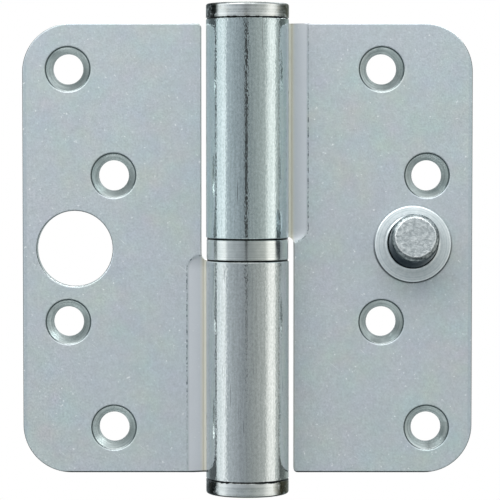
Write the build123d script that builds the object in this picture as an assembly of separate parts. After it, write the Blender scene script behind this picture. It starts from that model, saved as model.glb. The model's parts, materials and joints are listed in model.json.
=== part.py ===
# Lift-off butt hinge for a door, opened out flat, with a ball bearing between its two knuckles.
#
# Two equal leaves are pressed from one sheet blank, and each is rolled at one half of its inner
# edge into a knuckle. The frame leaf carries the lower knuckle, and the pin is pressed into it.
# The door leaf carries the upper knuckle, which runs on the pin and lifts off it. The bearing
# stands on the lower knuckle and takes the door's weight. A stud riveted into the door leaf
# swings into the large hole of the frame leaf, so a closed door can't be lifted or forced off.
#
# The frame: +Z runs up the pin, +X towards the door leaf, and -Y out of the countersunk faces,
# the side on which the knuckles stand out. The origin is on the pin's axis, halfway up.

import os
from math import asin, atan2, cos, hypot, radians, sin, tan

from build123d import *

os.makedirs("parts", exist_ok=True)

# The leaves
leaf_height = 89.0
leaf_reach = 44.5  # from the pin's axis to a leaf's outer edge
sheet = 3.0  # thickness of the sheet
leaf_setback = 2.0  # from the pin's axis back to the front faces, half the closed gap
corner_radius = 9.5
free_corner_radius = 0.8
notch_radius = 1.2
edge_round = 0.3  # roll-over that the blanking punch leaves on the front edges

# The rolled knuckles
bore_radius = 5.15
seam_angle = 20.0  # where the rolled end stops, short of the sheet that it closes on
knuckle_overhang = 0.7  # how far a knuckle stands past the leaf's end edge
overhang_inset = 1.2  # from the knuckle's side in to where that extra length starts
knuckle_bevel = 0.12
free_edge_gap = 1.0  # from a knuckle to the free edge of the opposite leaf

# The slope by which the sheet comes off its roll and forward to the leaf's plane
crease = 12.0  # from the pin's axis to the bend where the slope ends
slope_end_lap = 0.9  # how far the slope runs on past the notch
slope_end_run = 0.9  # width of the wall at that end
slope_corner_radius = 2.7
slope_corner_taper = 1.6  # how much smaller that radius is at the slope's foot
crease_bend = 1.0

# Screw holes, in two staggered columns
hole_radius = 3.0
countersink_radius = 4.5
countersink_angle = 90.0
countersink_rim = 0.2  # bevel of the edge between the cone and the face
outer_column = 9.0  # in from the leaf's outer edge
inner_column = 18.0
end_row = 9.0  # in from the leaf's ends
middle_row_web = 2.5  # down the leaf, from the stud hole to the nearest countersink

# The security stud, and the hole that it enters
stud_hole_radius = 7.5
stud_hole_column = 10.3  # in from the frame leaf's outer edge
stud_column = 11.8  # in from the door leaf's outer edge
stud_rise = 1.0  # above the leaf's middle
stud_length = 9.0  # out from the leaf's front face
stud_root_radius = 4.95
stud_tip_radius = 4.7
stud_tip_round = 0.95
stud_root_fillet = 0.6
stud_lean = 10.0  # tilt of the nose towards the top of the leaf
collar_radius = 7.55
collar_height = 0.9
collar_edge = 0.72  # height of the collar's rim, from which it rises in a cone
collar_flat = 1.0  # width of the flat between that cone and the nose
collar_round = 0.3
shank_radius = 3.5
rivet_radius = 4.6
rivet_depth = 1.1

# The pin and the caps
pin_clearance = 0.05
pin_taper_length = 2.5
pin_taper = 1.2  # how much the pin's radius falls over that taper
pin_bevel = 0.5
pin_head_gap = 3.2  # from the pin's top to the upper cap's spigot
pin_foot_gap = 0.8  # from the pin's foot to the lower cap's spigot
cap_thickness = 3.0
cap_round = 0.45
cap_bevel = 0.3
spigot_length = 4.0
spigot_bevel = 0.5

# The ball bearing
bearing_height = 4.6  # also the gap between the two knuckles
shell_inset = 0.1  # from the knuckles' surface in to the shell's
shell_wall = 0.45
shell_lip = 0.5
shell_lip_thickness = 0.35
shell_bevel = 0.08
race_proud = 0.35  # how far each race stands out of the shell
race_clearance = 0.1
race_spacing = 1.1  # between the faces that the balls run in
ball_radius = 0.8
ball_clearance = 0.05
ball_count = 12
cage_thickness = 0.7
cage_clearance = 0.15

# Worked out from these
half_height = leaf_height / 2
leaf_back = leaf_setback + sheet
knuckle_radius = bore_radius + sheet
knuckle_low = bearing_height / 2
knuckle_high = half_height + knuckle_overhang
free_edge = knuckle_radius + free_edge_gap
slope = asin(bore_radius / hypot(crease, leaf_setback)) - atan2(leaf_setback, crease)
slope_depth = knuckle_radius - leaf_back
slope_run = slope_depth / tan(slope)
slope_end = knuckle_low - slope_end_lap
stud_x = leaf_reach - stud_column
stud_hole_x = leaf_reach - stud_hole_column
pin_radius = bore_radius - pin_clearance
pin_top = knuckle_high - spigot_length - pin_head_gap
pin_foot = knuckle_high - spigot_length - pin_foot_gap
shell_radius = knuckle_radius - shell_inset
shell_half = knuckle_low - race_proud
cage_inner = pin_radius + cage_clearance
cage_outer = shell_radius - shell_wall - cage_clearance
ball_pitch_radius = (cage_inner + cage_outer) / 2
far = 3 * leaf_height  # past everything


def at(x=0.0, y=0.0, z=0.0):
    """A place in the hinge's frame."""
    return Location((x, y, z))


def plate(face, front, back):
    """A face drawn in X and Z, made a plate from front to back along Y."""
    return at(y=back) * Rotation(90, 0, 0) * extrude(face, back - front)


def plug(x, z, radius, front, back):
    """A round plug through a leaf."""
    return at(x, (front + back) / 2, z) * Rotation(90, 0, 0) * Cylinder(radius, back - front)


def cone(x, z, front_radius, back_radius, front, back):
    """A cone through a leaf."""
    body = Cone(back_radius, front_radius, back - front)
    return at(x, (front + back) / 2, z) * Rotation(90, 0, 0) * body


def lathe(*points):
    """A piece turned about the pin's axis, from its half section in X and Z."""
    return revolve(Plane.XZ * make_face(Polyline(*points, close=True)), Axis.Z, 360)


def half_turn(shape):
    """The shape turned about Y, from the door leaf's place to the frame leaf's."""
    return Rotation(0, 180, 0) * shape


def edges_at(shape, axis, place):
    """The edges that lie in one plane across an axis."""
    return shape.edges().filter_by_position(axis, place - 0.01, place + 0.01)


def blank_outline():
    """The leaf's outline in X and Z: the upper half reaches in to the roll, the lower one stops."""
    tab_step = knuckle_radius - overhang_inset
    face = make_face(
        Polyline(
            (0, knuckle_high),
            (tab_step, knuckle_high),
            (tab_step, half_height),
            (leaf_reach, half_height),
            (leaf_reach, -half_height),
            (free_edge, -half_height),
            (free_edge, knuckle_low),
            (0, knuckle_low),
            close=True,
        )
    )
    face = fillet(face.vertices().sort_by(Axis.X)[-2:], corner_radius)
    free_corner = face.vertices().sort_by_distance((free_edge, -half_height))[0]
    face = fillet(free_corner, free_corner_radius)
    notch_corner = face.vertices().sort_by_distance((free_edge, knuckle_low))[0]
    return fillet(notch_corner, notch_radius)


def rounded_quadrant(x, z, depth, radius):
    """All that lies inward of x and above z at one depth, with its corner rounded."""
    face = make_face(Polyline((-far, z), (x, z), (x, far), (-far, far), close=True))
    corner = face.vertices().sort_by_distance((x, z))[0]
    return at(y=depth) * Rotation(90, 0, 0) * fillet(corner, radius)


def sloped_form(x, z, mouth, corner):
    """A half space whose face runs back in the slope from a crease at x and z, its bend rounded."""
    wide = rounded_quadrant(x, z, mouth, corner)
    foot = mouth + slope_depth
    narrow = rounded_quadrant(x - slope_run, z + slope_end_run, foot, corner - slope_corner_taper)
    form = loft([wide, narrow], ruled=True) + at(y=mouth - far / 2) * Box(2 * far, far, 2 * far)
    rim = edges_at(form, Axis.Y, mouth)
    inner = [edge for edge in rim if max(abs(edge.center().X), abs(edge.center().Z)) < 0.9 * far]
    return fillet(inner, crease_bend)


def sloped_sheet():
    """The leaf from its free edges to the roll, as thick on the slope as it is elsewhere."""
    block = plate(blank_outline(), leaf_setback, knuckle_radius)
    rim = edges_at(block, Axis.Y, leaf_setback)
    block = fillet([edge for edge in rim if edge.center().X > knuckle_radius], edge_round)
    side_shift = sheet * tan(slope / 2)
    end_shift = sheet * tan(atan2(slope_depth, slope_end_run) / 2)
    front = sloped_form(crease, slope_end, leaf_setback, slope_corner_radius)
    back = sloped_form(
        crease + side_shift, slope_end - end_shift, leaf_back, slope_corner_radius + side_shift
    )
    off_roll = (far * sin(slope), far * cos(slope))
    roll_side = extrude(make_face(Polyline((0, 0), off_roll, (0, far), close=True)), far, both=True)
    return (block & back) - front - roll_side - Cylinder(bore_radius, far)


def rolled_knuckle():
    """The roll: from where the sheet meets it behind the pin, round the front to the seam."""
    low = at(z=knuckle_low)
    tube = low * extrude(Circle(knuckle_radius), knuckle_high - knuckle_low)
    tube = chamfer(tube.edges().filter_by(GeomType.CIRCLE), knuckle_bevel)
    tube -= low * extrude(Circle(bore_radius), knuckle_high - knuckle_low)
    reach = 2 * knuckle_radius
    seam = (reach * cos(radians(seam_angle)), reach * sin(radians(seam_angle)))
    off_roll = (reach * sin(slope), reach * cos(slope))
    mouth = make_face(Polyline((0, 0), seam, (reach, reach), off_roll, close=True))
    return tube - extrude(mouth, 2 * knuckle_high)


def countersunk_hole(x, z):
    """A screw hole with its cone, ready to cut."""
    depth = (countersink_radius - hole_radius) / tan(radians(countersink_angle / 2))
    shank = plug(x, z, hole_radius, leaf_setback - sheet, leaf_back + sheet)
    return shank + cone(x, z, countersink_radius, hole_radius, leaf_setback, leaf_setback + depth)


def screw_places():
    """Where the door leaf's holes are: the two columns take turns from the top down."""
    outer = leaf_reach - outer_column
    inner = leaf_reach - inner_column
    end = half_height - end_row
    middle = stud_hole_radius + middle_row_web + countersink_radius
    return [(inner, end), (outer, middle), (inner, -middle), (outer, -end)]


def front_rims(leaf, radius):
    """The rims of that radius in a leaf's front face."""
    rims = edges_at(leaf, Axis.Y, leaf_setback).filter_by(GeomType.CIRCLE)
    return [edge for edge in rims if abs(edge.radius - radius) < 0.01]


def plain_leaf():
    """What the two leaves have in common, at the door leaf's place."""
    leaf = sloped_sheet() + rolled_knuckle()
    for x, z in screw_places():
        leaf -= countersunk_hole(x, z)
    return chamfer(front_rims(leaf, countersink_radius), countersink_rim)


def rivet_tail():
    """The stud's shank through the door leaf, set flush into a cone at the back."""
    shank = plug(stud_x, stud_rise, shank_radius, leaf_setback, leaf_back)
    head_front = leaf_back - rivet_depth
    return shank + cone(stud_x, stud_rise, shank_radius, rivet_radius, head_front, leaf_back)


def frame_leaf(leaf):
    """The left-hand leaf, with the hole that the stud enters."""
    leaf = half_turn(leaf)
    leaf -= plug(-stud_hole_x, 0, stud_hole_radius, leaf_setback - sheet, leaf_back + sheet)
    return fillet(front_rims(leaf, stud_hole_radius), edge_round)


def security_stud():
    """The stud: its riveted tail, a coned collar on the leaf, and a tapered nose that leans."""
    rim_face = leaf_setback - collar_edge
    collar_face = leaf_setback - collar_height
    flat_radius = stud_root_radius + collar_flat
    collar = plug(stud_x, stud_rise, collar_radius, rim_face, leaf_setback)
    collar += cone(stud_x, stud_rise, flat_radius, collar_radius, collar_face, rim_face)
    collar = fillet(edges_at(collar, Axis.Y, rim_face), collar_round)
    length = stud_length / cos(radians(stud_lean))
    nose = Cone(stud_root_radius, stud_tip_radius, length, align=(Align.CENTER, Align.CENTER, Align.MIN))
    nose = fillet(nose.edges().filter_by(GeomType.CIRCLE).sort_by(Axis.Z)[-1], stud_tip_round)
    nose = at(stud_x, leaf_setback, stud_rise) * Rotation(90 - stud_lean, 0, 0) * nose
    nose &= at(y=leaf_setback - far / 2) * Box(far, far, far)
    stud = collar + nose
    root = edges_at(stud, Axis.Y, collar_face).sort_by(SortBy.LENGTH)[0]
    return fillet(root, stud_root_fillet) + rivet_tail()


def cap():
    """The upper cap: a turned disc on the knuckle's end, with a spigot pressed into its bore."""
    spigot_end = knuckle_high - spigot_length
    top = knuckle_high + cap_thickness
    body = lathe(
        (0, spigot_end),
        (bore_radius - spigot_bevel, spigot_end),
        (bore_radius, spigot_end + spigot_bevel),
        (bore_radius, knuckle_high),
        (knuckle_radius - cap_bevel, knuckle_high),
        (knuckle_radius, knuckle_high + cap_bevel),
        (knuckle_radius, top),
        (0, top),
    )
    return fillet(edges_at(body, Axis.Z, top), cap_round)


def hinge_pin():
    """The pin: full size where the lower knuckle holds it, slimmer above, tapered at the top."""
    return lathe(
        (0, -pin_foot),
        (bore_radius - pin_bevel, -pin_foot),
        (bore_radius, pin_bevel - pin_foot),
        (bore_radius, -knuckle_low),
        (pin_radius, -knuckle_low),
        (pin_radius, pin_top - pin_taper_length),
        (pin_radius - pin_taper, pin_top),
        (0, pin_top),
    )


def bearing_shell():
    """The bearing's rolled shell, whose lips hold the two races."""
    wall = shell_radius - shell_wall
    lip = wall - shell_lip
    lip_face = shell_half - shell_lip_thickness
    shell = lathe(
        (lip, -shell_half),
        (shell_radius, -shell_half),
        (shell_radius, shell_half),
        (lip, shell_half),
        (lip, lip_face),
        (wall, lip_face),
        (wall, -lip_face),
        (lip, -lip_face),
    )
    rims = shell.edges().filter_by(GeomType.CIRCLE)
    rims = [edge for edge in rims if abs(edge.radius - shell_radius) < 0.01]
    return chamfer(rims, shell_bevel)


def bearing_race():
    """The upper race: a collar that stands out of the shell, and a flange with the ball track."""
    bore = pin_radius + race_clearance
    flange = shell_radius - shell_wall - race_clearance
    neck = flange - shell_lip
    shoulder = shell_half - shell_lip_thickness - race_clearance
    face = race_spacing / 2
    race = lathe(
        (bore, face),
        (flange, face),
        (flange, shoulder),
        (neck, shoulder),
        (neck, knuckle_low),
        (bore, knuckle_low),
    )
    return race - Torus(ball_pitch_radius, ball_radius + ball_clearance)


def ball_places():
    """Where the balls stand, evenly round the pin."""
    return PolarLocations(ball_pitch_radius, ball_count)


def ball_cage():
    """The flat ring that keeps the balls apart."""
    ring = Cylinder(cage_outer, cage_thickness) - Cylinder(cage_inner, 2 * cage_thickness)
    return ring - ball_places() * Cylinder(ball_radius + ball_clearance, 2 * cage_thickness)


def save(name, shape):
    """Write one piece to its own file."""
    export_step(shape, f"parts/{name}.step")
    print(f"{name}: {shape.volume:.1f} cubic mm")


leaf = plain_leaf()
race = bearing_race()
save("frame_leaf", frame_leaf(leaf))
save("door_leaf", leaf - rivet_tail())
save("hinge_pin", hinge_pin())
save("top_cap", cap())
save("bottom_cap", half_turn(cap()))
save("security_stud", security_stud())
save("bearing_shell", bearing_shell())
save("bearing_upper_race", race)
save("bearing_lower_race", half_turn(race))
save("ball_cage", ball_cage())
for number, place in enumerate(ball_places(), start=1):
    save(f"ball_{number:02d}", place * Sphere(ball_radius))
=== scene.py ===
# %% [markdown]
# # A lift-off door hinge in blue zinc
#
# The hinge comes out of the CAD model with its shapes and sizes settled. What is left is what the
# eye reads as metal: zinc plating that is matte on the pressed sheet and granular where the sheet
# was rolled round a mandrel, turned caps, a headed stud, a ball bearing, and a soft studio round
# it all. This lesson adds that, one finish at a time.

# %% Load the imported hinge
import json
from math import acos, cos, pi, radians, sin, tan

import bmesh
import bpy
from mathutils import Matrix, Vector

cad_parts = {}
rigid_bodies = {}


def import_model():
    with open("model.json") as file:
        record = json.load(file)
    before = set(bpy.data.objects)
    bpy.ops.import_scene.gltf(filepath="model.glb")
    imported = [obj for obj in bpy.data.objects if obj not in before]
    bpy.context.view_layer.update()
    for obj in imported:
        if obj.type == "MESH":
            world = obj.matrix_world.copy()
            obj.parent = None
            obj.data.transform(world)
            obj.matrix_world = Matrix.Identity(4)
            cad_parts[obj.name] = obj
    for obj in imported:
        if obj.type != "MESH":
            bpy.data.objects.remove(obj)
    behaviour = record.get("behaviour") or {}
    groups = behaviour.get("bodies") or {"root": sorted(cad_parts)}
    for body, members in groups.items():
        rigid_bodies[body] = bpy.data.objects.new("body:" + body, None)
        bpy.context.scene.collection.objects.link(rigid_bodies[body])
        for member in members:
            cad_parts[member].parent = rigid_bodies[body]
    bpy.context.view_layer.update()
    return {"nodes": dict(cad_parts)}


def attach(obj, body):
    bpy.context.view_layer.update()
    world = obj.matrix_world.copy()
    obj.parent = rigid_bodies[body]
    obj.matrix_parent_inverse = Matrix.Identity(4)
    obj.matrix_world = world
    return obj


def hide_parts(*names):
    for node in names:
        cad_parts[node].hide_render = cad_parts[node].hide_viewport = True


for leftover in list(bpy.data.objects):
    bpy.data.objects.remove(leftover)

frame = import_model()
nodes = frame["nodes"]
MM = 0.001

# %% [markdown]
# ## Three small helpers
#
# Colours are picked as sRGB hex codes, the way a painter would sample them, but shaders work in
# linear light, so one function converts them. A texture's scale counts features per metre, which
# nobody can picture, so `per` turns a feature's real size in millimetres into that number. And
# one function adds a node with its settings and its links, which keeps each material short.

# %% Helpers for colours, sizes and nodes
def colour(code):
    """An sRGB hex code as linear RGBA."""
    channels = [int(code[i:i + 2], 16) / 255 for i in (1, 3, 5)]
    linear = [c / 12.92 if c <= 0.04045 else ((c + 0.055) / 1.055) ** 2.4 for c in channels]
    return (*linear, 1.0)


def per(millimetres):
    """The texture scale whose features are about that wide."""
    return 1 / (millimetres * MM)


def add(tree, kind, inputs=None, **settings):
    """Add one shader node. An input is a value, or another node's output to link."""
    node = tree.nodes.new("ShaderNode" + kind)
    for name, value in settings.items():
        setattr(node, name, value)
    for name, value in (inputs or {}).items():
        if isinstance(value, bpy.types.NodeSocket):
            tree.links.new(value, node.inputs[name])
        else:
            node.inputs[name].default_value = value
    return node


print("a mid grey in linear light:", [round(v, 3) for v in colour("#808080")])

# %% [markdown]
# ## The camera
#
# The photograph is a product shot with a long lens: the leaves' edges run almost parallel, and
# the ends of the barrel curve only slightly. The curves tell how far away and how high the camera
# stood. A lens shift could frame the picture too, but it would follow the camera to every other
# view, so the camera is tilted down a little instead.

# %% Camera
CAMERA_DISTANCE = 480 * MM  # from the pin's axis
CAMERA_HEIGHT = 20 * MM  # above the hinge's middle
PICTURE_WIDTH = 99.0 * MM  # what the picture spans at the leaves' front faces
AIM = Vector((0.5, 2.0, -0.25)) * MM  # the point at the middle of the picture
SENSOR = 36.0
NEAREST_SEEN = 10 * MM

eye = Vector((AIM.x, -CAMERA_DISTANCE, CAMERA_HEIGHT))
camera_data = bpy.data.cameras.new("camera")
camera_data.sensor_width = SENSOR
camera_data.lens = SENSOR * (AIM - eye).length / PICTURE_WIDTH
camera_data.clip_start = NEAREST_SEEN
camera = bpy.data.objects.new("camera", camera_data)
camera.location = eye
camera.rotation_euler = (AIM - eye).to_track_quat("-Z", "Y").to_euler()
bpy.context.scene.collection.objects.link(camera)
bpy.context.scene.camera = camera
bpy.context.scene.view_settings.view_transform = "Standard"
tilt = 90 - camera.rotation_euler.x * 180 / pi
print(f"lens {camera_data.lens:.0f} mm, tilted down {tilt:.2f} degrees")

# %% [markdown]
# ## The studio walls
#
# Bare metal shows its surroundings more than its own colour. The barrel of the hinge is a round
# mirror that tells what stood round it: a bright strip far out on each side, plain grey walls
# between them, darker walls behind the strips, and a thin dark line down its middle, which is the
# camera's own shape. A picture of a studio would give all that, but walls painted with a colour
# ramp round the compass are easier to move while matching a photograph.
#
# A second ramp paints the ceiling and the ground: bright overhead, dark low down, and a pale
# table straight below. The walls reach down to about 30 degrees below the horizon before they
# turn into the ground, so that the barrel keeps its stripes when it is seen from above. The
# camera itself sees plain white paper behind the hinge.

# %% World
WALLS = (  # bearing from the camera's side in degrees, to the right, and the wall's colour there
    (-180, "#929b9e"),
    (-145, "#838c90"),
    (-125, "#454c4f"),
    (-98, "#3b4245"),
    (-94, "#d5dee1"),
    (-66, "#eff3f5"),
    (-58, "#a9b0b5"),
    (-14, "#858b90"),
    (14, "#898e8e"),
    (50, "#abaeab"),
    (62, "#efefeb"),
    (82, "#fbfaf6"),
    (87, "#b5b9b6"),
    (95, "#acb0ae"),
    (102, "#4a504e"),
    (125, "#5c6361"),
    (145, "#969e9b"),
    (180, "#929b9e"),
)
HEIGHTS = (  # sine of the height above the horizon, and the colour of ceiling and ground there
    (-1.0, "#eef3f3"),
    (-0.85, "#a9b0b2"),
    (-0.65, "#3c4245"),
    (-0.3, "#3c4245"),
    (0.25, "#c9d2d8"),
    (0.6, "#dde6ea"),
    (1.0, "#f4f7f8"),
)
CEILING = {"From Min": 0.2, "From Max": 0.55}  # the sines between which the walls turn into it
GROUND = {"From Min": -0.5, "From Max": -0.8}
BEHIND = {"From Min": -0.1, "From Max": 0.4}  # how far back a direction points where both grow dim
ROOM_LIGHT = 1.3


def painted(tree, along, stops):
    """A colour ramp along a value from 0 to 1."""
    ramp = add(tree, "ValToRGB", {"Fac": along})
    elements = ramp.color_ramp.elements
    elements[0].position, elements[1].position = stops[0][0], stops[-1][0]
    for place, code in stops[1:-1]:
        elements.new(place).color = colour(code)
    elements[0].color, elements[-1].color = colour(stops[0][1]), colour(stops[-1][1])
    return ramp.outputs[0]


world = bpy.data.worlds.new("studio")
bpy.context.scene.world = world
world.use_nodes = True
room = world.node_tree
room.nodes.clear()
looking = add(room, "SeparateXYZ", {"Vector": add(room, "TexCoord").outputs["Generated"]}).outputs
forward = add(room, "Math", {0: looking["Y"], 1: -1.0}, operation="MULTIPLY")
bearing = add(room, "Math", {0: looking["X"], 1: forward.outputs[0]}, operation="ARCTAN2")
turn = add(room, "MapRange", {"Value": bearing.outputs[0], "From Min": -pi, "From Max": pi})
rise = add(room, "MapRange", {"Value": looking["Z"], "From Min": -1.0})
walls = painted(room, turn.outputs[0], [((angle + 180) / 360, code) for angle, code in WALLS])
lids = painted(room, rise.outputs[0], [((sine + 1) / 2, code) for sine, code in HEIGHTS])
behind = add(room, "MapRange", {"Value": looking["Y"], **BEHIND})
dim_lids = add(room, "Mix", {0: behind.outputs[0], 6: lids, 7: colour("#5d6263")},
               data_type="RGBA")
overhead = add(room, "MapRange", {"Value": looking["Z"], **CEILING},
               interpolation_type="SMOOTHSTEP")
below = add(room, "MapRange", {"Value": looking["Z"], **GROUND}, interpolation_type="SMOOTHSTEP")
lid_share = add(room, "Math", {0: overhead.outputs[0], 1: below.outputs[0]}, operation="MAXIMUM")
inside = add(room, "Mix", {0: lid_share.outputs[0], 6: walls, 7: dim_lids.outputs[2]},
             data_type="RGBA")
studio = add(room, "Background", {"Color": inside.outputs[2], "Strength": ROOM_LIGHT})
paper = add(room, "Background", {"Color": colour("#ffffff"), "Strength": 1.0})
seen = add(room, "LightPath").outputs["Is Camera Ray"]
backdrop = add(room, "MixShader", {0: seen, 1: studio.outputs[0], 2: paper.outputs[0]})
add(room, "OutputWorld", {"Surface": backdrop.outputs[0]})
print("walls:", len(WALLS), "colours round the compass,", len(HEIGHTS), "from ground to ceiling")

# %% [markdown]
# ## The lights
#
# The two bright lines down the barrel come from the walls, so only the matte leaves still need a
# lamp. A wide soft box high on the left lights them, because their grain scatters it towards the
# camera, while the barrel, being upright and shiny, hardly shows it. It also picks out every rim
# that faces up and to the left. The further away it is, the more evenly the leaves are lit, and
# this one keeps the slight fall-off that the photograph has. Its twin stands behind, for the
# views from there.

# %% Lights
def soft_box(name, bearing, height, distance, width, tall, radiance, tint):
    """A rectangular light at that bearing to the right of the camera's side, facing the hinge."""
    data = bpy.data.lights.new(name, "AREA")
    data.shape = "RECTANGLE"
    data.size, data.size_y = width, tall
    data.energy = radiance * pi * width * tall
    data.color = colour(tint)[:3]
    light = bpy.data.objects.new(name, data)
    angle = radians(bearing)
    light.location = (distance * sin(angle), -distance * cos(angle), height)
    light.rotation_euler = (-light.location).to_track_quat("-Z", "Z").to_euler()
    light.visible_camera = False
    bpy.context.scene.collection.objects.link(light)


soft_box("key", bearing=-18, height=1.75, distance=1.7, width=3.1, tall=1.25, radiance=4.25,
         tint="#fffdfc")
soft_box("back_key", bearing=162, height=1.75, distance=1.7, width=2.6, tall=1.1, radiance=6.4,
         tint="#fcfdff")

# %% [markdown]
# ## The camera's own reflection
#
# A black card stands in for the camera. It is seen only in reflections, so it darkens the middle
# of the barrel and nothing else. On the lower knuckle the photograph's dark line is much fainter,
# so the card narrows to a tail there.

# %% Dark card at the camera
CARD_DISTANCE = 300 * MM
CARD_BEARING = radians(-3)
CARD_HALF_ANGLE = radians(3.8)
CARD_TOP = 300 * MM
CARD_SHOULDER = -12 * MM  # below this it is a narrow tail
CARD_TAIL = -60 * MM
CARD_STEPS = (  # how far down, and how wide as a share of the step above
    (CARD_SHOULDER - CARD_TOP, 1.0),
    (0.0, 0.4),
    (CARD_TAIL - CARD_SHOULDER, 0.3),
)


def staged(name, form, finish_name, code, roughness):
    """Turn a bmesh into an object of the studio, with a plain matte finish."""
    data = bpy.data.meshes.new(name)
    form.to_mesh(data)
    form.free()
    finish = bpy.data.materials.new(finish_name)
    finish.use_nodes = True
    shader = finish.node_tree.nodes["Principled BSDF"]
    shader.inputs["Base Color"].default_value = colour(code)
    shader.inputs["Roughness"].default_value = roughness
    data.materials.append(finish)
    thing = bpy.data.objects.new(name, data)
    bpy.context.scene.collection.objects.link(thing)
    return thing


half_width = CARD_DISTANCE * tan(CARD_HALF_ANGLE)
form = bmesh.new()
corners = [form.verts.new((side * half_width, -CARD_DISTANCE, CARD_TOP)) for side in (-1, 1)]
last_edge = form.edges.new(corners)
for drop, narrowing in CARD_STEPS:
    grown = bmesh.ops.extrude_edge_only(form, edges=[last_edge])["geom"]
    lower = [v for v in grown if isinstance(v, bmesh.types.BMVert)]
    edges = [e for e in grown if isinstance(e, bmesh.types.BMEdge)]
    last_edge = next(e for e in edges if set(e.verts) == set(lower))
    bmesh.ops.translate(form, vec=(0, 0, drop), verts=lower)
    bmesh.ops.scale(form, vec=(narrowing, 1, 1), verts=lower)
bmesh.ops.rotate(form, matrix=Matrix.Rotation(CARD_BEARING, 3, "Z"), verts=form.verts)
card = staged("camera_card", form, "black_velvet", "#0c0e10", 0.95)
for ray in ("camera", "diffuse", "transmission", "volume_scatter", "shadow"):
    setattr(card, "visible_" + ray, False)
print(f"card {2 * half_width / MM:.0f} mm wide, {CARD_DISTANCE / MM:.0f} mm in front of the pin")

# %% [markdown]
# ## The floor
#
# A hinge hangs on its screws, so nothing stands on the floor. It is only there for the other
# views: a pale disc, so far below the hinge that a camera can stand between the two and look up.
# It is kept out of the reflections, where the painted ground takes its place.

# %% Floor
FLOOR_DROP = 420 * MM
FLOOR_RADIUS = 600 * MM
FLOOR_CORNERS = 96

disc = bmesh.new()
bmesh.ops.create_circle(disc, cap_ends=True, segments=FLOOR_CORNERS, radius=FLOOR_RADIUS)
bmesh.ops.translate(disc, vec=(0, 0, -FLOOR_DROP), verts=disc.verts)
floor = staged("floor", disc, "pale_paper", "#dfe1e2", 0.85)
floor.visible_glossy = False
print(f"floor {2 * FLOOR_RADIUS:.2f} m across, {FLOOR_DROP / MM:.0f} mm below the hinge's middle")

# %% [markdown]
# ## Starting and finishing a material
#
# Every finish here reads the place on the object, in metres, so its scales come straight from
# millimetres and the pattern stays put when a leaf swings. `blank` starts a finish, and `metal`
# ends it: colour, roughness and a little relief go into one shader. In between, a mask says where
# one colour or number gives way to another, which is what `share`, `mixed` and `blend` are for.
#
# A noise texture's values crowd round the middle, so the range from 0.36 to 0.64 spreads them
# over nearly all of a mix.

# %% Helpers for materials
SPREAD = (0.36, 0.64)


def blank(name):
    """A new material's empty tree, the place on the object, and that place's three axes."""
    material = bpy.data.materials.new(name)
    material.use_nodes = True
    tree = material.node_tree
    tree.nodes.clear()
    place = add(tree, "TexCoord").outputs["Object"]
    return material, tree, place, add(tree, "SeparateXYZ", {"Vector": place}).outputs


def share(tree, value, start, end, least=0.0, most=1.0):
    """A value turned into a share: least at the start, most at the end, and held beyond them."""
    return add(tree, "MapRange", {"Value": value, "From Min": start, "From Max": end,
                                  "To Min": least, "To Max": most}).outputs[0]


def mixed(tree, factor, one, other):
    """One colour fading into another. A colour is a hex code or a node's output."""
    ends = [colour(c) if isinstance(c, str) else c for c in (one, other)]
    return add(tree, "Mix", {0: factor, 6: ends[0], 7: ends[1]}, data_type="RGBA").outputs[2]


def blend(tree, factor, one, other):
    """One number fading into another."""
    return add(tree, "Mix", {0: factor, 2: one, 3: other}).outputs[0]


def product(tree, one, other):
    """Two masks where both hold, or two numbers multiplied."""
    return add(tree, "Math", {0: one, 1: other}, operation="MULTIPLY").outputs[0]


def radius(tree, first, second):
    """The distance from the origin of two coordinates."""
    flat = add(tree, "CombineXYZ", {"X": first, "Y": second}).outputs[0]
    return add(tree, "VectorMath", {0: flat}, operation="LENGTH").outputs["Value"]


def metal(tree, base, roughness, height, depth, metallic=1.0, grazing="#ffffff"):
    """The shader that ends a finish: its relief is a height from 0 to 1 over that depth.

    The grazing colour is how much of a mirror it still is where one looks along it.
    """
    relief = add(tree, "Bump", {"Height": height, "Distance": depth})
    shader = add(tree, "BsdfPrincipled", {"Base Color": base, "Metallic": metallic,
                                          "Roughness": roughness, "Specular Tint": colour(grazing),
                                          "Normal": relief.outputs[0]})
    add(tree, "OutputMaterial", {"Surface": shader.outputs[0]})


def dress(finish, *names):
    """Give CAD nodes that finish."""
    for name in names:
        nodes[name].data.materials.clear()
        nodes[name].data.materials.append(finish)
    made_of = len(finish.node_tree.nodes)
    print(finish.name, "on", len(names), "nodes, made of", made_of, "shader nodes")


# %% [markdown]
# ## Zinc-plated sheet
#
# The leaves are cold-rolled steel with a thin electroplated zinc layer, passivated blue. Zinc grows
# in fine crystals, so the flat sheet is matte, with a faint sparkle that painted glints add. The
# passivation film is thin enough to tint the light, which leaves soft clouds of lilac, green and
# straw. On the roll the sheet was stretched and pressed, so it is shinier and its reflections break
# up into granules. One material holds both, told apart by how near a point lies to the pin's axis,
# because on the real leaf the plating runs on without a border.
#
# Three functions draw the crease, the roll and what the cutting tools left, and the material puts
# them together. A broken dark line of painted shade runs along the crease beside the roll, full up
# to a set height on the leaf and fainter beyond it. The cones carry painted shade by which way they
# face, dark at the lower right, with a painted highlight on the rim below and painted shade on the
# rim above. The material adds the film's straw tint with a painted highlight next to the knuckle,
# and a dark line of painted shade along the lower edge.

# %% The crease, and the painted shade along it
CREASE = 12.0 * MM  # from the pin's axis
CREASE_CORNER = 2.7 * MM
SLOPE_END = 1.4 * MM
CREASE_SHADE_FULL = 28 * MM  # how far up the leaf the painted shade along the crease is full
CREASE_SHADE_FADED = 31 * MM
CREASE_SHADE_WIDTH = (0.15 * MM, 0.06 * MM)  # the painted shade's width: from its middle to where it has faded, and where it is full


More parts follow.
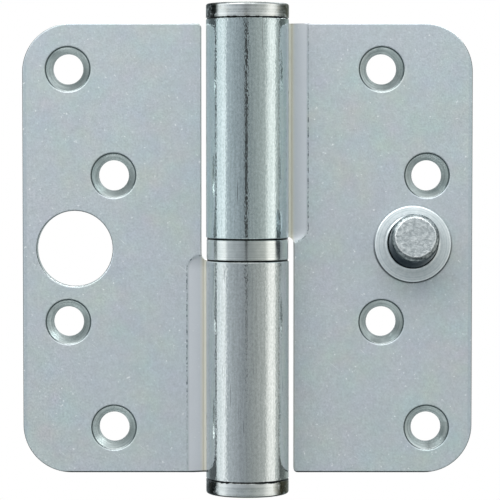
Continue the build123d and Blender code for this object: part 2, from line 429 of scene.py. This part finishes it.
def crease(tree, place, axes):
    """How far a point lies past the crease, and the broken line of painted shade that runs along
    it.
    """
    side = add(tree, "Math", {0: axes["X"]}, operation="SIGN").outputs[0]
    out = add(tree, "Math", {0: axes["X"]}, operation="ABSOLUTE").outputs[0]
    up = product(tree, axes["Z"], side)  # both leaves are the same pressing, one turned round
    past_side = add(tree, "Math", {0: out, 1: CREASE - CREASE_CORNER}, operation="SUBTRACT")
    past_end = add(tree, "Math", {0: SLOPE_END + CREASE_CORNER, 1: up}, operation="SUBTRACT")
    past = add(tree, "CombineXYZ", {"X": past_side.outputs[0], "Y": past_end.outputs[0]})
    outside = add(tree, "VectorMath", {0: past.outputs[0], 1: (0, 0, 0)}, operation="MAXIMUM")
    length = add(tree, "VectorMath", {0: outside.outputs[0]}, operation="LENGTH").outputs["Value"]
    past_crease = add(tree, "Math", {0: length, 1: CREASE_CORNER}, operation="SUBTRACT").outputs[0]
    apart = add(tree, "Math", {0: past_crease}, operation="ABSOLUTE").outputs[0]
    thin = share(tree, apart, *CREASE_SHADE_WIDTH)
    wander = add(tree, "TexNoise", {"Vector": place, "Scale": per(1.0), "Detail": 5.0,
                                    "Roughness": 0.75}).outputs[0]
    broken = product(tree, thin, share(tree, wander, 0.46, 0.56))
    strength = share(tree, up, CREASE_SHADE_FADED, CREASE_SHADE_FULL, 0.4)
    return past_crease, product(tree, broken, strength)


print(f"the crease runs {CREASE / MM:.0f} mm from the pin's axis")

# %% What the roll shows
ROLL = 8.15 * MM  # the knuckles' radius
ROLL_END = 45.2 * MM
SEAM = -1.3 * MM  # where the rolling tool nicked the knuckles' sides
SEAM_HALF = 0.45 * MM
GRANULE, WAVE, STREAK, NICK = 0.34, 1.3, 0.5, 1.6  # widths in mm


def rolled_skin(tree, place, axes, out):
    """Colour and grain of the rolled knuckles: granules, drawn streaks and nicks at the seam."""
    drawn = add(tree, "Mapping", {"Vector": place, "Scale": (1, 1, 0.7)}).outputs[0]
    granules = add(tree, "TexNoise", {"Vector": drawn, "Scale": per(GRANULE),
                                      "Detail": 1.0}).outputs[0]
    waves = add(tree, "TexNoise", {"Vector": drawn, "Scale": per(WAVE), "Detail": 1.0}).outputs[0]
    long = add(tree, "Mapping", {"Vector": place, "Scale": (1, 1, 0.03)}).outputs[0]
    streaks = add(tree, "TexNoise", {"Vector": long, "Scale": per(STREAK),
                                     "Detail": 3.0}).outputs[0]
    worn = share(tree, blend(tree, 0.5, granules, streaks), 0.35, 0.65)
    bare = mixed(tree, worn, "#c6cccb", "#dfe3e3")
    blued = mixed(tree, worn, "#bacdcf", "#d8e8ea")
    skin = mixed(tree, share(tree, axes["Z"], -2 * MM, 2 * MM, 0.0, 0.6), bare, blued)
    skin = mixed(tree, share(tree, streaks, 0.66, 0.72, 0.0, 0.75), skin, "#5f6a6a")
    patches = add(tree, "TexNoise", {"Vector": place, "Scale": per(NICK), "Detail": 4.0,
                                     "Roughness": 0.7}).outputs[0]
    seam = add(tree, "Math", {0: axes["Y"], 1: SEAM, 2: SEAM_HALF}, operation="COMPARE")
    side = add(tree, "Math", {0: out, 1: 0.9 * ROLL}, operation="GREATER_THAN").outputs[0]
    on_seam = product(tree, seam.outputs[0], side)
    nicked = product(tree, on_seam, share(tree, patches, 0.56, 0.6))
    return mixed(tree, nicked, skin, "#4f5a5a"), blend(tree, 0.35, granules, waves), granules


print(f"roll {2 * ROLL / MM:.1f} mm across")

# %% What the cutting tools left, and painted shade on the cuts
FACE = 2.0 * MM  # from the pin's axis back to the leaves' front faces
SHEET = 3.0 * MM
CUT_SKIN = (FACE + 0.04 * MM, FACE + 0.08 * MM)  # where a cut's own finish starts
CUT_END = FACE + SHEET - 0.02 * MM
CUT_FROM = (13 * MM, 14 * MM)  # from the pin's axis, clear of the slope beside the knuckle
PAINTED_RIM_BAND = (FACE + 0.28 * MM, FACE + 0.2 * MM)  # where a cone's rim ends, with its painted highlight where it faces up and painted shade where it faces down


def cut_zones(tree, place, axes, out):
    """Where cones, bores and sheared edges were cut, and their colour, with the tool's rings,
    painted shade by which way they face, and a painted highlight and shade on the rims.
    """
    deep = share(tree, axes["Y"], *CUT_SKIN)
    clear = share(tree, out, *CUT_FROM)
    before_back = add(tree, "Math", {0: axes["Y"], 1: CUT_END}, operation="LESS_THAN").outputs[0]
    cut = product(tree, product(tree, deep, clear), before_back)
    ring_at = add(tree, "Mapping", {"Vector": place, "Scale": (0.05, 1, 0.05)}).outputs[0]
    rings = add(tree, "TexNoise", {"Vector": ring_at, "Scale": per(0.25), "Detail": 2.0}).outputs[0]
    turned_and_shade = mixed(tree, share(tree, rings, 0.3, 0.7), "#adb8b7", "#dde5e4")
    # painted shade: a cut that faces up and to the left, as on a cone's lower right, is darkened
    facing = add(tree, "SeparateXYZ", {"Vector": add(tree, "TexCoord").outputs["Normal"]}).outputs
    lower_right = add(tree, "Math", {0: facing["Z"], 1: facing["X"]}, operation="SUBTRACT")
    painted_shade = share(tree, lower_right.outputs[0], 0.1, 0.95, 0.0, 0.62)
    turned_and_shade = mixed(tree, painted_shade, turned_and_shade, "#5d6869")
    # painted highlight where a rim faces up, painted shade where it faces down
    rim = mixed(tree, share(tree, facing["Z"], 0.3, 0.75), "#556061", "#dfe5e5")
    return cut, mixed(tree, share(tree, axes["Y"], *PAINTED_RIM_BAND), turned_and_shade, rim)


print(f"sheet {SHEET / MM:.0f} mm thick")

# %% Zinc-plated sheet material
STRAW_AND_HIGHLIGHT = (  # share of the way from the knuckle's side outwards, and the colour there: near white as a painted highlight, then the film's straw tint
    (0.0, "#fffcf2"),
    (0.25, "#fdf9ec"),
    (0.42, "#dbd5c4"),
    (0.6, "#e6e3da"),
    (1.0, "#e0e3e4"),
)
STRAW_AND_HIGHLIGHT_WIDTH = 1.4 * MM
STRAW_AND_HIGHLIGHT_DEPTH = (FACE + 2.4 * MM, FACE + 2.0 * MM)  # where it ends behind the front face
OUTER_EDGE = 44.5 * MM  # from the pin's axis to a leaf's outer edge, and half its height
OUTER_EDGE_SHADE = (OUTER_EDGE - 0.9 * MM, OUTER_EDGE - 0.7 * MM)  # where a painted shade of the edge's roll-over starts, darker and bluer
LOWER_EDGE_SHADE = (0.34 * MM - OUTER_EDGE, 0.24 * MM - OUTER_EDGE)  # the top of the painted shade along the lower edges
STUD = (32.7 * MM, 1.0 * MM)  # the stud's place on the door leaf
COLLAR = 7.55 * MM  # its collar's radius
COLLAR_SHADOW_REACH = (COLLAR + 0.42 * MM, COLLAR + 0.18 * MM)  # how far the painted shadow under the collar reaches
ROLL_SKIN = (ROLL + 0.25 * MM, ROLL + 0.1 * MM)  # where the flat sheet's finish ends
BRUISED = (ROLL_END - 0.9 * MM, ROLL_END - 0.3 * MM)  # where the knuckle's relief deepens
GRAIN_DEPTH, GRANULE_DEPTH, BRUISE_DEPTH = 0.024 * MM, 0.034 * MM, 0.09 * MM


def zinc_sheet():
    """Blue-passivated zinc: grainy on the flat, granular on the roll, ringed in the cones."""
    material, tree, place, axes = blank("blue_zinc_sheet")
    out = add(tree, "Math", {0: axes["X"]}, operation="ABSOLUTE").outputs[0]
    reach = radius(tree, axes["X"], axes["Y"])
    rolled = share(tree, reach, *ROLL_SKIN)
    past_crease, crease_shade = crease(tree, place, axes)

    # the film's clouds of blue, lilac and straw on the flat, and the crystals' fine grain
    film = add(tree, "TexNoise", {"Vector": place, "Scale": per(5), "Detail": 3.0,
                                  "Roughness": 0.45})
    clouds = add(tree, "TexNoise", {"Vector": place, "Scale": per(16), "Detail": 2.0}).outputs[0]
    flat = mixed(tree, 0.13, "#ccd6d8", film.outputs["Color"])
    flat = mixed(tree, share(tree, clouds, 0.44, 0.6, 0.0, 0.55), flat, "#ccd1d9")
    grain = add(tree, "TexNoise", {"Vector": place, "Scale": per(0.4), "Detail": 2.0,
                                   "Roughness": 0.6}).outputs[0]
    flat = mixed(tree, share(tree, grain, 0.3, 0.7, 0.32, 0.0), flat, "#8d979b")
    mottles = add(tree, "TexNoise", {"Vector": place, "Scale": per(1.1), "Detail": 2.0}).outputs[0]
    flat = mixed(tree, share(tree, mottles, *SPREAD, 0.14, 0.0), flat, "#969fa2")
    # painted shade: a darker, bluer strip along the outer edges
    flat = mixed(tree, share(tree, out, *OUTER_EDGE_SHADE, 0.0, 0.35), flat, "#a6b3bb")

    # what is cleaner where the press burnished it, and next to the knuckle the film's straw tint
    # with a painted highlight
    flat = mixed(tree, share(tree, past_crease, -0.1 * MM, -0.5 * MM), flat, "#d9dce1")
    # painted highlight beside the knuckle, near white, and the film's straw tint beyond it
    straw_and_highlight_at = share(tree, out, ROLL, ROLL + STRAW_AND_HIGHLIGHT_WIDTH)
    in_front = share(tree, axes["Y"], *STRAW_AND_HIGHLIGHT_DEPTH)
    flat = mixed(tree, product(tree, share(tree, straw_and_highlight_at, 1.0, 0.6), in_front), flat,
                 painted(tree, straw_and_highlight_at, STRAW_AND_HIGHLIGHT))

    # painted glints where a crystal catches the light, fine scratches, painted shade along the
    # crease, a painted shadow under the collar, and painted shade along the lower edge
    painted_glints = add(tree, "TexNoise", {"Vector": place, "Scale": per(0.55), "Detail": 1.0}).outputs[0]
    # painted highlight: bright glints on the flat sheet
    flat = mixed(tree, share(tree, painted_glints, 0.72, 0.8, 0.0, 0.6), flat, "#f4f6f6")
    slant = add(tree, "Mapping", {"Vector": place, "Rotation": (0, 0.7, 0), "Scale": (12, 1, 1)},
                vector_type="TEXTURE")
    scratches = add(tree, "TexNoise", {"Vector": slant.outputs[0], "Scale": per(0.3),
                                       "Detail": 0.0}).outputs[0]
    flat = mixed(tree, share(tree, scratches, 0.86, 0.9, 0.0, 0.4), flat, "#eef1f1")
    # painted shade: a dark broken line along the crease
    flat = mixed(tree, crease_shade, flat, "#4b555c")
    # painted shadow round the collar, strongest below it
    from_stud = add(tree, "Mapping", {"Vector": place, "Location": (-STUD[0], 0, -STUD[1])})
    stud_axes = add(tree, "SeparateXYZ", {"Vector": from_stud.outputs[0]}).outputs
    past_collar = radius(tree, stud_axes["X"], stud_axes["Z"])
    mostly_below = share(tree, stud_axes["Z"], 3 * MM, -3 * MM, 0.15, 0.85)
    collar_shadow = product(tree, share(tree, past_collar, *COLLAR_SHADOW_REACH), mostly_below)
    flat = mixed(tree, collar_shadow, flat, "#30383b")
    # painted shade: a dark line along the lower edges
    flat = mixed(tree, share(tree, axes["Z"], *LOWER_EDGE_SHADE), flat, "#30373a")

    roll, bumps, granules = rolled_skin(tree, place, axes, out)
    cut, cut_colour_and_shade = cut_zones(tree, place, axes, out)
    base = mixed(tree, cut, mixed(tree, rolled, flat, roll), cut_colour_and_shade)
    dull = share(tree, grain, 0, 1, 0.46, 0.68)
    shiny = share(tree, granules, 0, 1, 0.005, 0.08)
    roughness = blend(tree, cut, blend(tree, rolled, dull, shiny), 0.24)
    up = add(tree, "Math", {0: axes["Z"]}, operation="ABSOLUTE").outputs[0]
    roll_depth = share(tree, up, *BRUISED, GRANULE_DEPTH, BRUISE_DEPTH)
    depth = blend(tree, rolled, GRAIN_DEPTH, roll_depth)
    metallic = blend(tree, cut, blend(tree, rolled, 0.75, 0.95), 0.65)
    metal(tree, base, roughness, blend(tree, rolled, grain, bumps), depth, metallic)
    return material


dress(zinc_sheet(), "frame_leaf", "door_leaf")

# %% [markdown]
# ## Zinc on turned steel
#
# The caps came off a lathe before they were plated. The tool left fine rings, so each highlight is
# smeared across them: up and down on the sides, in a fan on the end. The rings follow the distance
# from the axis on the end and the height on the sides, so one noise that reads both draws them
# everywhere. Both sides carry painted shade in patches, olive on the right and nearly black on the
# left, and the olive reaches further in on the bottom cap. The outer edge is darker grey, and grime
# and painted shade sit in the joint with the knuckle.

# %% Turned cap material
CAP_RADIUS = 8.15 * MM
CAP_END = 48.2 * MM
OLIVE_SHADE_FROM = (0.72 * CAP_RADIUS, 0.6 * CAP_RADIUS)  # on the upper cap, and on the lower one
BLACK_SHADE_FROM = (-0.68 * CAP_RADIUS, -0.76 * CAP_RADIUS)
DARK_EDGE_HEIGHT = (CAP_END - 0.34 * MM, CAP_END - 0.26 * MM)
DARK_EDGE_RADIUS = (CAP_RADIUS - 0.5 * MM, CAP_RADIUS - 0.35 * MM)
JOINT_GRIME_AND_SHADE = (ROLL_END + 0.34 * MM, ROLL_END + 0.2 * MM)  # where the grime and painted shade on a cap end


def lathe_lines(tree, place, axes, width, blotch):
    """Fine lines round the pin's axis with blotches among them, and the blotches alone."""
    reach = radius(tree, axes["X"], axes["Y"])
    along = add(tree, "CombineXYZ", {"X": reach, "Z": axes["Z"]}).outputs[0]
    lines = add(tree, "TexNoise", {"Vector": along, "Scale": per(width), "Detail": 3.0,
                                   "Roughness": 0.7})
    blotches = add(tree, "TexNoise", {"Vector": place, "Scale": per(blotch), "Detail": 4.0,
                                      "Roughness": 0.6}).outputs[0]
    return blend(tree, 0.3, lines.outputs[0], blotches), blotches


def turned_zinc():
    """Zinc over lathe rings: fine lines round the piece, painted shade on the sides, a darker outer
    edge, grime and painted shade in the joint.
    """
    material, tree, place, axes = blank("zinc_on_turned_steel")
    lines, blotches = lathe_lines(tree, place, axes, width=0.4, blotch=1.4)
    base = mixed(tree, share(tree, lines, *SPREAD), "#ced3d1", "#f6f8f7")
    tint_and_shade_patches = add(tree, "TexNoise", {"Vector": place, "Scale": per(1.6), "Detail": 4.0,
                                     "Roughness": 0.7}).outputs[0]
    patchy = share(tree, tint_and_shade_patches, 0.36, 0.48)
    reached = share(tree, axes["Z"], 1 * MM, -1 * MM, *OLIVE_SHADE_FROM)
    past = add(tree, "Math", {0: axes["X"], 1: reached}, operation="SUBTRACT").outputs[0]
    right = share(tree, past, 0.0, 0.2 * CAP_RADIUS)
    left = share(tree, axes["X"], *BLACK_SHADE_FROM)
    # painted shade in patches: olive on the right side, nearly black on the left
    for side, code in ((right, "#5b5946"), (left, "#343937")):
        base = mixed(tree, product(tree, patchy, side), base, code)
    base = mixed(tree, share(tree, tint_and_shade_patches, 0.55, 0.7, 0.0, 0.35), base, "#b5ae99")
    up = add(tree, "Math", {0: axes["Z"]}, operation="ABSOLUTE").outputs[0]
    # the outer edge of each cap is darker grey
    at_rim = share(tree, radius(tree, axes["X"], axes["Y"]), *DARK_EDGE_RADIUS)
    dark_edge = product(tree, share(tree, up, *DARK_EDGE_HEIGHT, 0.0, 0.96), at_rim)
    base = mixed(tree, dark_edge, base, "#5d6362")
    # grime and painted shade in the joint with the knuckle
    ragged = share(tree, blotches, 0, 1, -0.4 * MM, 0.4 * MM)
    from_joint = add(tree, "Math", {0: up, 1: ragged}, operation="ADD").outputs[0]
    base = mixed(tree, share(tree, from_joint, *JOINT_GRIME_AND_SHADE), base, "#1e2121")
    metal(tree, base, share(tree, lines, 0, 1, 0.14, 0.44), lines, 0.006 * MM)
    return material


dress(turned_zinc(), "top_cap", "bottom_cap")

# %% [markdown]
# ## The headed stud
#
# The stud was turned, plated and riveted through the leaf, and its end face was hammered flat.
# That gives four finishes on one piece: a matte dented tip with a polished burr round it, a dull
# band where the tip was rounded, a smooth nose, with painted shade on its lower side and a painted
# shadow at its root, that is less of a mirror where one looks along it, and a pale collar with the
# lathe's rings. The nose leans towards the top of the leaf, so distances from its axis are measured
# along the lean.

# %% Stud material
LEAN = 10.0  # degrees
TIP_FLAT = 3.75 * MM  # radius of the end face inside the rounded edge
TIP_ROUND = -6.05 * MM  # where the tip starts to round, towards the camera
NOSE_FROM = (-0.95 * MM, -1.15 * MM)  # out from the leaf's face, like the two below
NOSE_ROOT_SHADOW = (-3.0 * MM, -1.6 * MM)
COLLAR_EDGE = (-0.62 * MM, -0.5 * MM)  # its rounded edge
NOSE_SHADE = (-1.5 * MM, 2.5 * MM)  # across the nose's axis, from its painted shade to its lit side
BAND_FROM = (TIP_FLAT + 0.1 * MM, TIP_FLAT + 0.25 * MM)
BURR_FROM = (TIP_FLAT - 0.05 * MM, TIP_FLAT + 0.05 * MM)
BURR_END = (TIP_FLAT + 0.25 * MM, TIP_FLAT + 0.15 * MM)


def riveted_zinc():
    """Zinc over a headed stud: a hammered end face, a burr, a dark band, a ringed collar."""
    material, tree, place, _ = blank("zinc_on_riveted_stud")
    foot = add(tree, "Mapping", {"Vector": place, "Location": (-STUD[0], -FACE, -STUD[1])})
    axes = add(tree, "SeparateXYZ", {"Vector": foot.outputs[0]}).outputs
    risen = product(tree, axes["Y"], tan(radians(LEAN)))
    level = add(tree, "Math", {0: axes["Z"], 1: risen}, operation="ADD").outputs[0]
    from_nose = radius(tree, axes["X"], level)
    from_stud = radius(tree, axes["X"], axes["Z"])
    nose = share(tree, axes["Y"], *NOSE_FROM)
    tip = share(tree, axes["Y"], TIP_ROUND - FACE + 0.25 * MM, TIP_ROUND - FACE - 0.1 * MM)

    rings = add(tree, "TexNoise", {"Vector": add(tree, "CombineXYZ", {"X": from_stud}).outputs[0],
                                   "Scale": per(0.4), "Detail": 3.0}).outputs[0]
    dints = add(tree, "TexNoise", {"Vector": place, "Scale": per(0.8), "Detail": 4.0,
                                   "Roughness": 0.65}).outputs[0]
    height = blend(tree, nose, blend(tree, 0.3, rings, dints), dints)
    worn = share(tree, height, *SPREAD)
    hammered = mixed(tree, worn, "#a6adaf", "#cacfd0")
    # painted shade: the nose darker on its lower side than its upper side, and a painted shadow at
    # its root
    lower = mixed(tree, worn, "#1b2024", "#4a5358")
    upper = mixed(tree, worn, "#8d969a", "#c0c6c8")
    side = mixed(tree, share(tree, level, *NOSE_SHADE), lower, upper)
    side = mixed(tree, share(tree, axes["Y"], *NOSE_ROOT_SHADOW), side, "#22282c")
    collar = mixed(tree, worn, "#ced9dc", "#fafeff")
    band = product(tree, tip, share(tree, from_nose, *BAND_FROM))
    ragged = share(tree, dints, 0.3, 0.7, -0.2 * MM, 0.2 * MM)
    edge = add(tree, "Math", {0: from_nose, 1: ragged}, operation="ADD").outputs[0]
    burr = product(tree, share(tree, edge, *BURR_FROM), share(tree, edge, *BURR_END))
    front = mixed(tree, band, hammered, mixed(tree, worn, "#4d5659", "#a9b0b1"))
    front = mixed(tree, product(tree, tip, burr), front, "#e4e7e7")
    base = mixed(tree, nose, collar, mixed(tree, tip, side, front))

    rim = share(tree, axes["Y"], *COLLAR_EDGE)
    collar_gloss = blend(tree, rim, share(tree, rings, 0, 1, 0.42, 0.62), 0.24)
    smooth, dented = share(tree, dints, 0, 1, 0.03, 0.2), share(tree, dints, 0, 1, 0.28, 0.44)
    nose_gloss = blend(tree, tip, smooth, dented)
    metal(tree, base, blend(tree, nose, collar_gloss, nose_gloss), height,
          blend(tree, tip, 0.014 * MM, 0.05 * MM), grazing="#868d93")
    return material


dress(riveted_zinc(), "security_stud")

# %% [markdown]
# ## The bearing and the pin
#
# Between the knuckles sits a ball bearing: a bright turned shell, two nearly black races, oiled
# steel whose darkness is partly painted shade, that show as black lines above and below it, and
# inside, a nylon cage with twelve balls round a ground pin.
# The turned and ground pieces differ only in colour, in gloss and in how coarse their lines are,
# so one function finishes them all. Nylon is no metal: it is milky, soft and a little greasy, and
# its gloss varies where the grease lies. The balls are lapped, so nothing but a faint smear of
# grease breaks their mirror.

# %% Turned and ground steel
def lathed(name, dark, light, gloss, width, blotch, depth):
    """A turned or ground metal: two colours, two roughnesses, and its patterns' widths in mm."""
    material, tree, place, axes = blank(name)
    lines, _ = lathe_lines(tree, place, axes, width, blotch)
    metal(tree, mixed(tree, share(tree, lines, *SPREAD), dark, light),
          share(tree, lines, 0.2, 0.8, *gloss), lines, depth)
    return material


bright_shell = lathed("bright_zinc_shell", "#cdd3d0", "#f0f3f1", gloss=(0.08, 0.24), width=0.35,
                      blotch=1.5, depth=0.003 * MM)
ground_pin = lathed("ground_pin_steel", "#a4a8a9", "#cfd2d2", gloss=(0.12, 0.34), width=0.25,
                    blotch=4.0, depth=0.003 * MM)
dress(bright_shell, "bearing_shell")
dress(ground_pin, "hinge_pin")

# %% [markdown]
# ## The races
#
# In the photograph the two black lines run right to the barrel's edge, so each race has a rim
# about as wide as the shell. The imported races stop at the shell's lips, so two wider ones take
# their place: a race is a turned ring, which is its profile spun once round the pin's axis. The
# ball track is a groove, a few points on a circle round the balls' centre. The lower race is the
# upper one turned over.

# %% Bearing races
RACE_BORE = 5.2 * MM
RACE_FACE = 0.55 * MM  # from the bearing's middle to the face with the track
TRACK = (6.35 * MM, 0.85 * MM)  # the balls' circle, and the groove's radius round it
RACE_FLANGE = (7.5 * MM, 1.5 * MM)  # radius, and height of its shoulder
RACE_NECK = 7.0 * MM
RACE_RIM = (7.95 * MM, 1.98 * MM, 2.29 * MM)  # radius, underside and top
RIM_ROUND = 0.06 * MM
TURNS, TRACK_STEPS = 96, 6
NEAR = 0.01 * MM


def race(name, body, node, over):
    """Spin one race, turned over or not, and let it stand for its CAD node."""
    half_track = acos(RACE_FACE / TRACK[1])
    angles = [half_track * step / TRACK_STEPS for step in range(-TRACK_STEPS, TRACK_STEPS + 1)]
    arc = [(TRACK[0] + TRACK[1] * sin(a), TRACK[1] * cos(a)) for a in angles]
    profile = [(RACE_BORE, RACE_FACE), *arc, (RACE_FLANGE[0], RACE_FACE), RACE_FLANGE,
               (RACE_NECK, RACE_FLANGE[1]), (RACE_NECK, RACE_RIM[1]), (RACE_RIM[0], RACE_RIM[1]),
               (RACE_RIM[0], RACE_RIM[2]), (RACE_BORE, RACE_RIM[2])]
    form = bmesh.new()
    ring = [form.verts.new((r, 0, z)) for r, z in profile]
    loop = [form.edges.new(pair) for pair in zip(ring, ring[1:] + ring[:1])]
    bmesh.ops.spin(form, geom=ring + loop, axis=(0, 0, 1), cent=(0, 0, 0), steps=TURNS,
                   angle=2 * pi, use_merge=True)
    rim = [e for e in form.edges if all(abs(v.co.xy.length - RACE_RIM[0]) < NEAR for v in e.verts)
           and abs(e.verts[0].co.z - e.verts[1].co.z) < NEAR]
    bmesh.ops.bevel(form, geom=rim, offset=RIM_ROUND, affect="EDGES", segments=2, profile=0.5,
                    material=-1)
    if over:
        bmesh.ops.rotate(form, matrix=Matrix.Rotation(pi, 3, "X"), verts=form.verts)
    bmesh.ops.recalc_face_normals(form, faces=form.faces)
    data = bpy.data.meshes.new(name)
    form.to_mesh(data)
    form.free()
    piece = bpy.data.objects.new(name, data)
    bpy.context.scene.collection.objects.link(piece)
    piece.data.materials.append(race_steel_and_gap_shade)
    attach(piece, body)
    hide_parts(node)
    print(name, "on", body, len(data.polygons), "faces")


# nearly black: oiled dark steel, and painted shade for the gaps above and below the shell
race_steel_and_gap_shade = lathed("oiled_race_steel_and_gap_shade", "#060707", "#1a1d1e", gloss=(0.25, 0.5), width=0.3,
                    blotch=1.0, depth=0.004 * MM)
race("upper_race", "bearing_top", "bearing_upper_race", False)
race("lower_race", "frame_side", "bearing_lower_race", True)

# %% Lapped balls and nylon cage
def greased(name, clean, smeared, gloss, patch, depth, metallic):
    """A smooth piece with smears of grease that dull it in patches of that width in mm."""
    material, tree, place, _ = blank(name)
    smears = add(tree, "TexNoise", {"Vector": place, "Scale": per(patch), "Detail": 3.0,
                                    "Distortion": 0.6}).outputs[0]
    metal(tree, mixed(tree, share(tree, smears, 0.45, 0.65), clean, smeared),
          share(tree, smears, 0.4, 0.7, *gloss), smears, depth, metallic)
    return material


balls = sorted(name for name in nodes if name.startswith("ball_") and name != "ball_cage")
lapped_steel = greased("lapped_ball_steel", "#dddedd", "#c9c6bb", gloss=(0.04, 0.18), patch=0.8,
                       depth=0.001 * MM, metallic=1.0)
nylon = greased("natural_nylon", "#e2dccb", "#cdc3a6", gloss=(0.34, 0.56), patch=1.2,
                depth=0.02 * MM, metallic=0.0)
dress(lapped_steel, *balls)
dress(nylon, "ball_cage")
